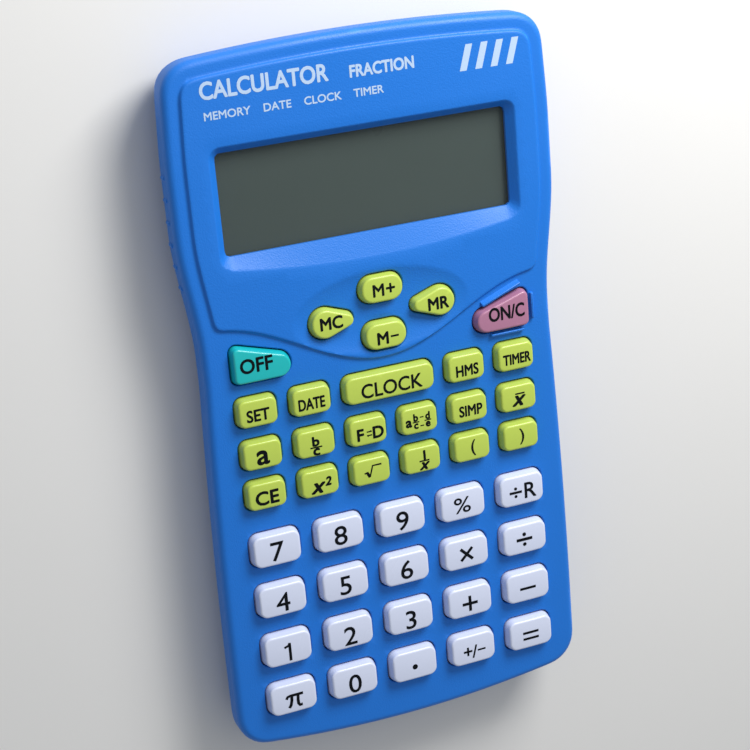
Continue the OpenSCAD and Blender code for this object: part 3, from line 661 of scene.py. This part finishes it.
def function_legends():
    def put(name, parts, x=0.0, y=-0.4):
        print_on(keys[name], parts, x, y)

    put("key_set", [word("SET", 3.5, bold=0.09, squeeze=0.9)], -0.1)
    put("key_date", [word("DATE", 3.4, bold=0.09, squeeze=0.68)], -0.1)
    put("key_hms", [word("HMS", 3.4, bold=0.09, squeeze=0.79)], 0.1, -0.5)
    put("key_timer", [word("TIMER", 3.2, bold=0.09, squeeze=0.72)], 0.15, -0.33)
    put("key_clock", [word("CLOCK", 4.3, bold=0.07, squeeze=0.94)], 0.3, -0.4)
    put("key_whole_part", [word("a", 6.2, bold=0.14, squeeze=1.05)], -0.05, -0.4)
    put("key_fraction", [moved(word("b", 2.8, bold=0.12, squeeze=1.2), 0.0, 1.3), bar(2.6, 0.32),
                         moved(word("c", 3.1, bold=0.12, squeeze=1.15), 0.0, -1.0)], -0.1, -0.8)
    put("key_fraction_decimal", [moved(word("F", 3.6, bold=0.12), -1.95, 0.0), *arrows(1.15, 0.8, 0.28),
                                 moved(word("D", 3.6, bold=0.12), 2.0, 0.0)], 0.15)
    mixed = [moved(word("a", 3.1, bold=0.12), -2.45, 0.0)]
    for side, upper, lower in ((-0.85, "b", "c"), (1.85, "d", "e")):
        mixed += [moved(word(upper, 2.2, bold=0.1), side, 1.1), bar(1.5, 0.26, side, 0.08),
                  moved(word(lower, 2.3, bold=0.1), side, -0.8)]
    mixed += [bar(0.85, 0.26, 0.5, 1.0), bar(0.85, 0.26, 0.5, -0.9)]
    put("key_mixed_fraction", mixed, 0.0, -0.35)
    put("key_simplify", [word("SIMP", 3.3, bold=0.09, squeeze=0.81)], 0.25, -0.3)
    put("key_mean", [word("x", 4.6, bold=0.16, slant=0.35), bar(2.2, 0.34, 0.3, 1.55)], 0.0, -0.6)
    put("key_clear_entry", [word("CE", 4.1, bold=0.12, squeeze=1.05)], -0.1, -0.35)
    put("key_square", [moved(word("x", 4.6, bold=0.17, slant=0.35), -0.7, -0.3),
                       moved(word("2", 2.6, bold=0.12, slant=0.2), 1.55, 0.8)], 0.2, -0.6)
    root = [(-1.9, -0.35), (-1.35, -0.1), (-0.75, -1.2), (0.0, 1.15), (2.0, 1.15)]
    downstroke = [(-1.35, -0.1), (-1.05, -0.7), (-0.75, -1.25)]
    put("key_root", [stroke(root, 0.38), stroke(downstroke, 0.62)], 0.2, 0.1)
    put("key_reciprocal", [moved(word("1", 2.9, bold=0.13), 0.1, 1.5), bar(2.3, 0.32, 0.0, 0.3),
                           moved(word("x", 3.3, bold=0.14, slant=0.35), 0.0, -0.85)], 0.35, -0.6)
    put("key_bracket_open", [word("(", 3.8, bold=0.06)], 0.2, 0.05)
    put("key_bracket_close", [word(")", 3.8, bold=0.06)], 0.15, 0.05)
    put("key_memory_plus", [moved(word("M", 3.6, bold=0.09), -0.95, 0.0),
                            moved(word("+", 3.9, bold=0.08), 1.7, 0.1)], 0.0, -0.1)
    put("key_memory_minus", [moved(word("M", 3.6, bold=0.11), -0.95, 0.0),
                             bar(1.8, 0.42, 1.65, 0.1)], 0.1, -0.4)
    put("key_memory_recall", [word("MR", 3.6, bold=0.11, squeeze=0.95)], 0.75, -0.15)
    put("key_memory_clear", [word("MC", 3.6, bold=0.11, squeeze=0.95)], -0.4, 0.2)
    put("key_off", [word("OFF", 4.2, bold=0.1, squeeze=0.95)], -1.35, -0.05)
    put("key_on_clear", [word("ON/C", 4.1, bold=0.1, squeeze=0.79)], 0.75, 0.0)


number_legends()
function_legends()


# ---- front shell -------------------------------------------------------------------------------------

WAVE_LOW_Y = 7.9
WAVE_RISE = 12.3
WAVE_HALF_X = 36.0
PANEL_INSET = 3.5
PANEL_STEP = 0.6

VIEW_HALF_X = 31.0
VIEW_LOW_Y = 34.3
VIEW_HIGH_Y = 55.0
VIEW_CORNER = 1.0
RECESS_Z = 11.25
RIM_SIDE = 1.6
RIM_TOP = 1.5
RIM_BOTTOM = 2.1
RIM_SAG = 3.0
RIM_CORNER = 2.2
RIM_SOFT_WIDTH = 0.2
RIM_SOFT_DEPTH = 0.05

DISH_Y = 18.0
DISH_HALF_X = 19.3
DISH_HALF_Y = 8.7
DISH_DEPTH = 0.95
DISH_EDGE_POWER = 1.6
PIP_X = 0.2
PIP_Y = 17.7
PIP_HALF_X = 2.4
PIP_HALF_Y = 1.05
PIP_RISE = 0.45
PIP_STEEPNESS = 1.3

HOLE_STEP = 0.42
HOLE_SOFT = 0.3
GRID_HALF_X = 39.0
GRID_HALF_Y = 73.0
GRID_STEP = 2.0
GRID_SHIFT = 0.9

outline = case_outline(1.1)
flat_edge = inset(outline, EDGE_RADIUS)


def wave_y(x):
    """The lower edge of the raised panel."""
    return WAVE_LOW_Y + WAVE_RISE * (1.0 - math.cos(math.pi * min(1.0, abs(x) / WAVE_HALF_X))) / 2


def panel_border():
    """Edge of the raised display panel: the case outline moved in, cut by the wave."""
    side = inset(case_outline(0.5), PANEL_INSET)
    upper = [tuple(p) for p in side if p[1] > wave_y(p[0])]
    first = min((y, i) for i, (x, y) in enumerate(upper) if x > 0)[1]
    upper = upper[first:] + upper[:first]
    wave = [(x, wave_y(x)) for x in np.linspace(upper[-1][0], upper[0][0], 160)[1:-1]]
    return smooth_loop(resample(upper + wave, 0.6), 6)


def recess_loop(half_x, high_y, low_y, sag, corner):
    """Rounded rectangle whose lower side sags by sag in its middle."""
    arc_steps = 8
    x = half_x - corner
    lower = np.linspace(-x, x, 60)
    points = [(at, low_y - sag * max(0.0, 1.0 - (at / half_x) ** 2)) for at in lower]
    corners = ((x, low_y + corner, -90), (x, high_y - corner, 0),
               (-x, high_y - corner, 90), (-x, low_y + corner, 180))
    for centre_x, centre_y, start in corners:
        arc = [math.radians(start + 90 * k / arc_steps) for k in range(arc_steps + 1)]
        points += [(centre_x + corner * math.cos(a), centre_y + corner * math.sin(a)) for a in arc]
    return resample(points, 0.9)


border = panel_border()
recess_floor = recess_loop(VIEW_HALF_X, VIEW_HIGH_Y, VIEW_LOW_Y, 0.0, VIEW_CORNER)
recess_rim = recess_loop(VIEW_HALF_X + RIM_SIDE, VIEW_HIGH_Y + RIM_TOP, VIEW_LOW_Y - RIM_BOTTOM,
                         RIM_SAG, RIM_CORNER)
holes = [key.outline(HOLE_GAP, int(key.half.sum() * 4 / HOLE_STEP)) for key in keys.values()]


def near_loop(loop, points, margin):
    """True for each point within a margin of the loop's box."""
    return (np.abs(points - loop.mean(0)) < (loop.max(0) - loop.min(0)) / 2 + margin).all(1)


def face_height(points):
    """Height of the front face at points (x, y), with panel, dish, pip, recess and softened edges."""
    x, y = points[:, 0], points[:, 1]
    gap = distance_to(border, points)
    signed = np.where(inside(border, points), gap, -gap)
    z = FACE_Z + PANEL_RISE * ease_array(signed / PANEL_STEP + 0.5)
    part = (x / DISH_HALF_X) ** 2 + ((y - DISH_Y) / DISH_HALF_Y) ** 2
    z -= DISH_DEPTH * np.where(part < 1.0, 1.0 - part ** DISH_EDGE_POWER, 0.0)
    from_pip = ((x - PIP_X) / PIP_HALF_X) ** 2 + ((y - PIP_Y) / PIP_HALF_Y) ** 2
    z += PIP_RISE * np.exp(-from_pip * PIP_STEEPNESS)
    rim_gap, floor_gap = distance_to(recess_rim, points), distance_to(recess_floor, points)
    in_rim = inside(recess_rim, points) | (rim_gap < 0.01)
    t = floor_gap / np.maximum(1e-6, floor_gap + rim_gap)
    sloped = RECESS_Z + (PANEL_Z - RECESS_Z) * t
    soft = RIM_SOFT_DEPTH * np.maximum(0.0, 1.0 - rim_gap / RIM_SOFT_WIDTH) ** 2
    z = np.where(in_rim, sloped, z) - soft
    for hole in holes:
        near = near_loop(hole, points, 1.0)
        into = np.maximum(0.0, HOLE_SOFT - distance_to(hole, points[near]))
        z[near] -= HOLE_SOFT - np.sqrt(HOLE_SOFT ** 2 - into ** 2)
    return z


class Scatter:
    """Points kept apart from each other, for one flat triangulation."""

    def __init__(self, cell=1.0):
        self.cell = cell
        self.grid = {}
        self.points = []
        self.edges = []

    def cell_of(self, x, y):
        return int(math.floor(x / self.cell)), int(math.floor(y / self.cell))

    def close_by(self, x, y, reach):
        r = int(math.ceil(reach / self.cell))
        cx, cy = self.cell_of(x, y)
        for i in range(cx - r, cx + r + 1):
            for j in range(cy - r, cy + r + 1):
                yield from self.grid.get((i, j), ())

    def add(self, x, y, apart=0.0):
        """Adds a point unless another lies closer than apart. Returns its index."""
        if apart > 0.0:
            for k in self.close_by(x, y, apart):
                px, py = self.points[k]
                if (px - x) ** 2 + (py - y) ** 2 < apart * apart:
                    return None
        self.points.append((float(x), float(y)))
        index = len(self.points) - 1
        self.grid.setdefault(self.cell_of(x, y), []).append(index)
        return index

    def loop(self, points):
        """Adds a closed line, which the triangles will follow."""
        ids = [self.add(x, y) for x, y in points]
        self.edges += [(ids[i], ids[(i + 1) % len(ids)]) for i in range(len(ids))]
        return ids

    def cloud(self, points, apart):
        for x, y in points:
            self.add(x, y, apart)


def triangulate(scatter, boundary, gaps):
    """Triangles over the boundary loop's inside, without the gaps' insides."""
    co, _, tris, origin, _, _ = delaunay_2d_cdt(
        [Vector(p) for p in scatter.points], scatter.edges, [], 1, 1e-6)
    co = np.array([c[:] for c in co])
    tris = np.array([t for t in tris if len(t) == 3], int)
    middle = co[tris].mean(1)
    keep = inside(boundary, middle)
    for gap in gaps:
        near = keep & near_loop(gap, middle, 0.5)
        keep[near] &= ~inside(gap, middle[near])
    new_of = {}
    for new, olds in enumerate(origin):
        for old in olds:
            new_of[old] = new
    return co, tris[keep], new_of


def face_points():
    """Points over the face, closest together along the lines where it bends.

    Each loop below takes distances from a line, and the last number is how far apart its points stay.
    """
    scatter = Scatter()
    edge_ids = scatter.loop(flat_edge)
    floor_ids = scatter.loop(recess_floor)
    scatter.loop(recess_rim)
    hole_ids = [scatter.loop(hole) for hole in holes]
    for out in (0.07, 0.17, 0.3, 0.36, 0.6):
        for hole in holes:
            scatter.cloud(inset(hole, -out), 0.05)
    for step in (0.32, 0.16, 0.0, -0.16, -0.32, 0.7, -0.7):
        scatter.cloud(inset(border, step), 0.12)
    for step in (-0.2, -0.1, 0.1, 0.2, 0.4):
        scatter.cloud(inset(recess_rim, step), 0.12)
    for out in (0.4, 0.8):
        scatter.cloud(inset(recess_floor, -out), 0.2)
    for part in (0.25, 0.5, 0.75):
        scatter.cloud(recess_floor_to_rim(part), 0.4)
    for part in (1.0, 0.98, 0.94, 0.88, 0.8, 0.7, 0.6, 0.5, 0.4, 0.3, 0.2, 0.1, 1.03, 1.08):
        scatter.cloud(dish_ring(part), 0.3)
    for step in (0.5, 1.2):
        scatter.cloud(inset(flat_edge, step), 0.3)
    xs = np.arange(-GRID_HALF_X, GRID_HALF_X + 0.1, GRID_STEP)
    ys = np.arange(-GRID_HALF_Y, GRID_HALF_Y + 0.1, GRID_STEP)
    grid = np.array([(x + (GRID_SHIFT if j % 2 else 0.0), y) for j, y in enumerate(ys) for x in xs])
    scatter.cloud(grid[inside(inset(flat_edge, 0.6), grid)], 1.1)
    return scatter, edge_ids, hole_ids + [floor_ids]


def dish_ring(part):
    """The dish's oval outline, scaled by part."""
    around = np.linspace(0.0, 2 * math.pi, 120, endpoint=False)
    return np.stack([DISH_HALF_X * part * np.cos(around), DISH_Y + DISH_HALF_Y * part * np.sin(around)], 1)


def recess_floor_to_rim(part):
    """Points part of the way from the display recess's floor to its rim."""
    floor = resample(recess_floor, 0.1)
    out = []
    for spot in resample(recess_rim, 0.8):
        nearest = floor[((floor - spot) ** 2).sum(1).argmin()]
        out.append(nearest * (1 - part) + spot * part)
    return out


def front_shell():
    """The front case: its face with all openings, the rounded edge, the wall and the roof inside."""
    scatter, edge_ids, opening_ids = face_points()
    co, tris, new_of = triangulate(scatter, flat_edge, holes + [recess_floor])
    shape = Shape()
    top = shape.ring(co, face_height(co))
    under = shape.ring(co, ROOF_Z)
    shape.faces += [tuple(top[i] for i in t) for t in tris]
    shape.faces += [tuple(under[i] for i in t[::-1]) for t in tris]
    for ids in opening_ids:
        shape.bridge([top[new_of[i]] for i in ids], [under[new_of[i]] for i in ids])

    # how far in from the outline, and how high, each line of the wall is, from the seam up
    curve_z = FACE_Z - EDGE_RADIUS
    wall = ((1.8, SEAM_Z), (0.35, SEAM_Z), (0.05, SEAM_Z + 0.22), (0.0, SEAM_Z + 0.5),
            (0.0, curve_z - 0.6), (0.0, curve_z))
    rings = [shape.ring(inset(outline, depth), z) for depth, z in wall]
    steps = 9
    for i in range(1, steps):
        a = math.pi / 2 * i / steps
        loop = inset(outline, EDGE_RADIUS * (1 - math.cos(a)))
        rings.append(shape.ring(loop, curve_z + EDGE_RADIUS * math.sin(a)))
    rings.append([top[new_of[i]] for i in edge_ids])
    inner = shape.ring(inset(outline, 2.0), ROOF_Z - 0.6)
    shape.stack([[under[new_of[i]] for i in edge_ids], inner, *rings])
    piece = shape.make("front_shell", BLUE, "body", "case_blue", 33.0)
    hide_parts("front_case")


front_shell()


# ---- guard ridges, grip ribs and the plain print ---------------------------------------------------------

CREST = 0.5
CREST_EDGE = 0.16
CREST_CUT = 0.12


def guard_ridge(name, start, end, outer_side, foot):
    """Low ridge from start to end, with its crest on the key's side and a slope over foot on the other."""
    start, end = np.array(start), np.array(end)
    along = (end - start) / math.hypot(*(end - start))
    turn = 1 if outer_side == "left" else -1
    outer = turn * np.array((-along[1], along[0]))
    cut, edge = CREST_CUT, CREST_EDGE
    shape = Shape()

    def ring(reach, back, z):
        """A thin rectangle with cut corners, pulled in by back on its ends and its key side."""
        a, b = start + (along + outer) * back, end + (outer - along) * back
        c, d = b + outer * (reach - back), a + outer * (reach - back)
        loop = [a + along * cut, b - along * cut, b + outer * cut, c - outer * cut,
                c - along * cut, d + along * cut, d - outer * cut, a + outer * cut]
        return shape.ring(loop[::turn], z)

    high = FACE_Z + GUARD_RISE
    shape.closed_stack([ring(foot, 0.0, FACE_Z - 0.3), ring(CREST, 0.0, high - edge),
                        ring(CREST - edge / 3, edge / 3, high - edge / 3), ring(CREST - edge, edge, high)])
    shape.make(name, BLUE, "body", "case_blue")


guard_ridge("guard_ridge_upper", (22.5, 14.2), (31.3, 17.6), "left", 1.3)
guard_ridge("guard_ridge_side", (33.5, 9.6), (33.5, 15.2), "right", 0.9)
guard_ridge("guard_ridge_lower", (24.0, 7.9), (31.6, 7.9), "right", 0.9)


RIB_COUNT = 6
RIB_FIRST_Y = 51.5
RIB_PITCH = 4.45
RIB_LOW_Z = 7.75
RIB_HIGH_Z = 9.95
RIB_RADIUS = 0.55
RIB_SINK = 0.25


def grip_ribs():
    """Upright half-sunk ribs with rounded ends, on both side walls."""
    end = ((0.0, 0.05), (0.05, 0.3), (0.2, 0.5))
    profile = [(RIB_LOW_Z + up, r) for up, r in end] + [(RIB_LOW_Z + RIB_RADIUS, RIB_RADIUS)]
    profile += [(RIB_HIGH_Z - RIB_RADIUS, RIB_RADIUS)] + [(RIB_HIGH_Z - up, r) for up, r in end[::-1]]
    around = np.arange(20) * 2 * math.pi / 20
    circle = np.stack([np.cos(around), np.sin(around)], 1)
    shape = Shape()
    for side in (-1, 1):
        for i in range(RIB_COUNT):
            y = RIB_FIRST_Y - RIB_PITCH * i
            middle = np.array([side * (half_width(y) - RIB_SINK), y])
            shape.closed_stack([shape.ring(middle + r * circle, z) for z, r in profile])
    shape.make("grip_ribs", BLUE, "body", "case_blue")


grip_ribs()


PRINT_LIFT = 0.015
SLANT_COUNT = 4
SLANT_FIRST_X = 21.0
SLANT_PITCH = 3.4
SLANT_Y = 63.6
SLANT_WIDTH = 1.5
SLANT_HEIGHT = 5.2
SLANT_LEAN = 1.6


def printed(name, parts):
    """Thin print on the display panel, from flat parts."""
    shape = Shape()
    for co, faces in parts:
        first = len(shape.points)
        shape.points += [(x, y, PANEL_Z + PRINT_LIFT + lift) for x, y, lift in co]
        shape.faces += [tuple(first + i for i in face) for face in faces]
    shape.make(name, PRINT, "body", "case_blue")


def starting_at(part, x, y):
    """The part moved so that its left end is at x and its middle is at height y."""
    return moved(part, x - part[0][:, 0].min(), y)


def slanted(x):
    low, high = SLANT_Y, SLANT_Y + SLANT_HEIGHT
    right = x + SLANT_WIDTH
    return polygon([(x, low), (right, low), (right + SLANT_LEAN, high), (x + SLANT_LEAN, high)])


title = word("CALCULATOR", 4.7, bold=0.13, squeeze=0.86)
kind = word("FRACTION", 3.3, bold=0.11, squeeze=0.86)
small_line = word("MEMORY    DATE    CLOCK    TIMER", 2.2, bold=0.05, squeeze=1.05)
printed("print_words", [starting_at(title, -33.0, 67.6), starting_at(kind, -2.4, 67.0),
                        starting_at(small_line, -32.6, 62.7)])
printed("print_slants", [slanted(SLANT_FIRST_X + SLANT_PITCH * i) for i in range(SLANT_COUNT)])


# ---- CAD nodes that keep their shape ---------------------------------------------------------------

carried_over = {
    "rear_case": BLUE,
    "battery_cover": BLUE,
    "display_window": CLEAR,
    "lcd_panel": DISPLAY,
    "zebra_strip": STRIP,
    "circuit_board": BOARD,
    "key_mat": RUBBER,
    "chip_blob": EPOXY,
    "crystal": STEEL,
    "smd_parts": CHIPS,
    "battery_cell": CELL,
    "battery_contact_positive": NICKEL,
    "battery_contact_negative": NICKEL,
    "case_screws": STEEL,
    "board_screws": STEEL,
    "rubber_feet": RUBBER,
}
for node, material in carried_over.items():
    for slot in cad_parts[node].material_slots:
        slot.material = material


# ---- stage, light and camera, in metres ------------------------------------------------------------

FLOOR_REACH = 3.0
CAMERA_PLACE = Vector((-133.0, 131.56, 356.73)) * MM
CAMERA_BACK = Vector((-0.33505, 0.32659, 0.88379))
CAMERA_RIGHT = Vector((0.92104, -0.08412, 0.38026))
CAMERA_LENS = 91.2
CAMERA_SENSOR = 36.0


def stage_floor():
    mesh = bpy.data.meshes.new("floor")
    r = FLOOR_REACH
    mesh.from_pydata([(-r, -r, 0.0), (r, -r, 0.0), (r, r, 0.0), (-r, r, 0.0)], [], [(0, 1, 2, 3)])
    floor = bpy.data.objects.new("floor", mesh)
    scene.collection.objects.link(floor)
    paper = plastic("floor_paper", linear(226, 224, 220), 0.8, 400.0, 0.02, 0.01, specular=0.2)
    mesh.materials.append(paper)


def area_light(name, place, target, size, power):
    data = bpy.data.lights.new(name, "AREA")
    data.shape = "RECTANGLE"
    data.size, data.size_y = size
    data.energy = power
    lamp = bpy.data.objects.new(name, data)
    lamp.location = place
    lamp.rotation_euler = (Vector(target) - Vector(place)).to_track_quat("-Z", "Y").to_euler()
    scene.collection.objects.link(lamp)


def surroundings():
    """A dim, slightly blue room all round."""
    world = bpy.data.worlds.new("studio")
    world.use_nodes = True
    background = world.node_tree.nodes["Background"]
    background.inputs["Color"].default_value = (0.88, 0.93, 1.0, 1.0)
    background.inputs["Strength"].default_value = 0.38
    scene.world = world


def camera():
    """The camera fitted to the photo."""
    data = bpy.data.cameras.new("photo_view")
    data.lens = CAMERA_LENS
    data.sensor_width = CAMERA_SENSOR
    data.clip_start = 0.01
    view = bpy.data.objects.new("photo_view", data)
    back = CAMERA_BACK.normalized()
    right = (CAMERA_RIGHT - back * CAMERA_RIGHT.dot(back)).normalized()
    turn = Matrix((right, back.cross(right), back)).transposed()
    view.matrix_world = Matrix.Translation(CAMERA_PLACE) @ turn.to_4x4()
    scene.collection.objects.link(view)
    scene.camera = view


stage_floor()
# name, place, target, size and watts
area_light("key_light", (0.17, 0.30, 0.21), (0.0, 0.02, 0.0), (0.22, 0.16), 1.9)
area_light("fill_light", (0.3, 0.45, 0.8), (0.0, 0.0, 0.0), (0.9, 0.9), 1.2)
surroundings()
camera()
scene.view_settings.view_transform = "Standard"
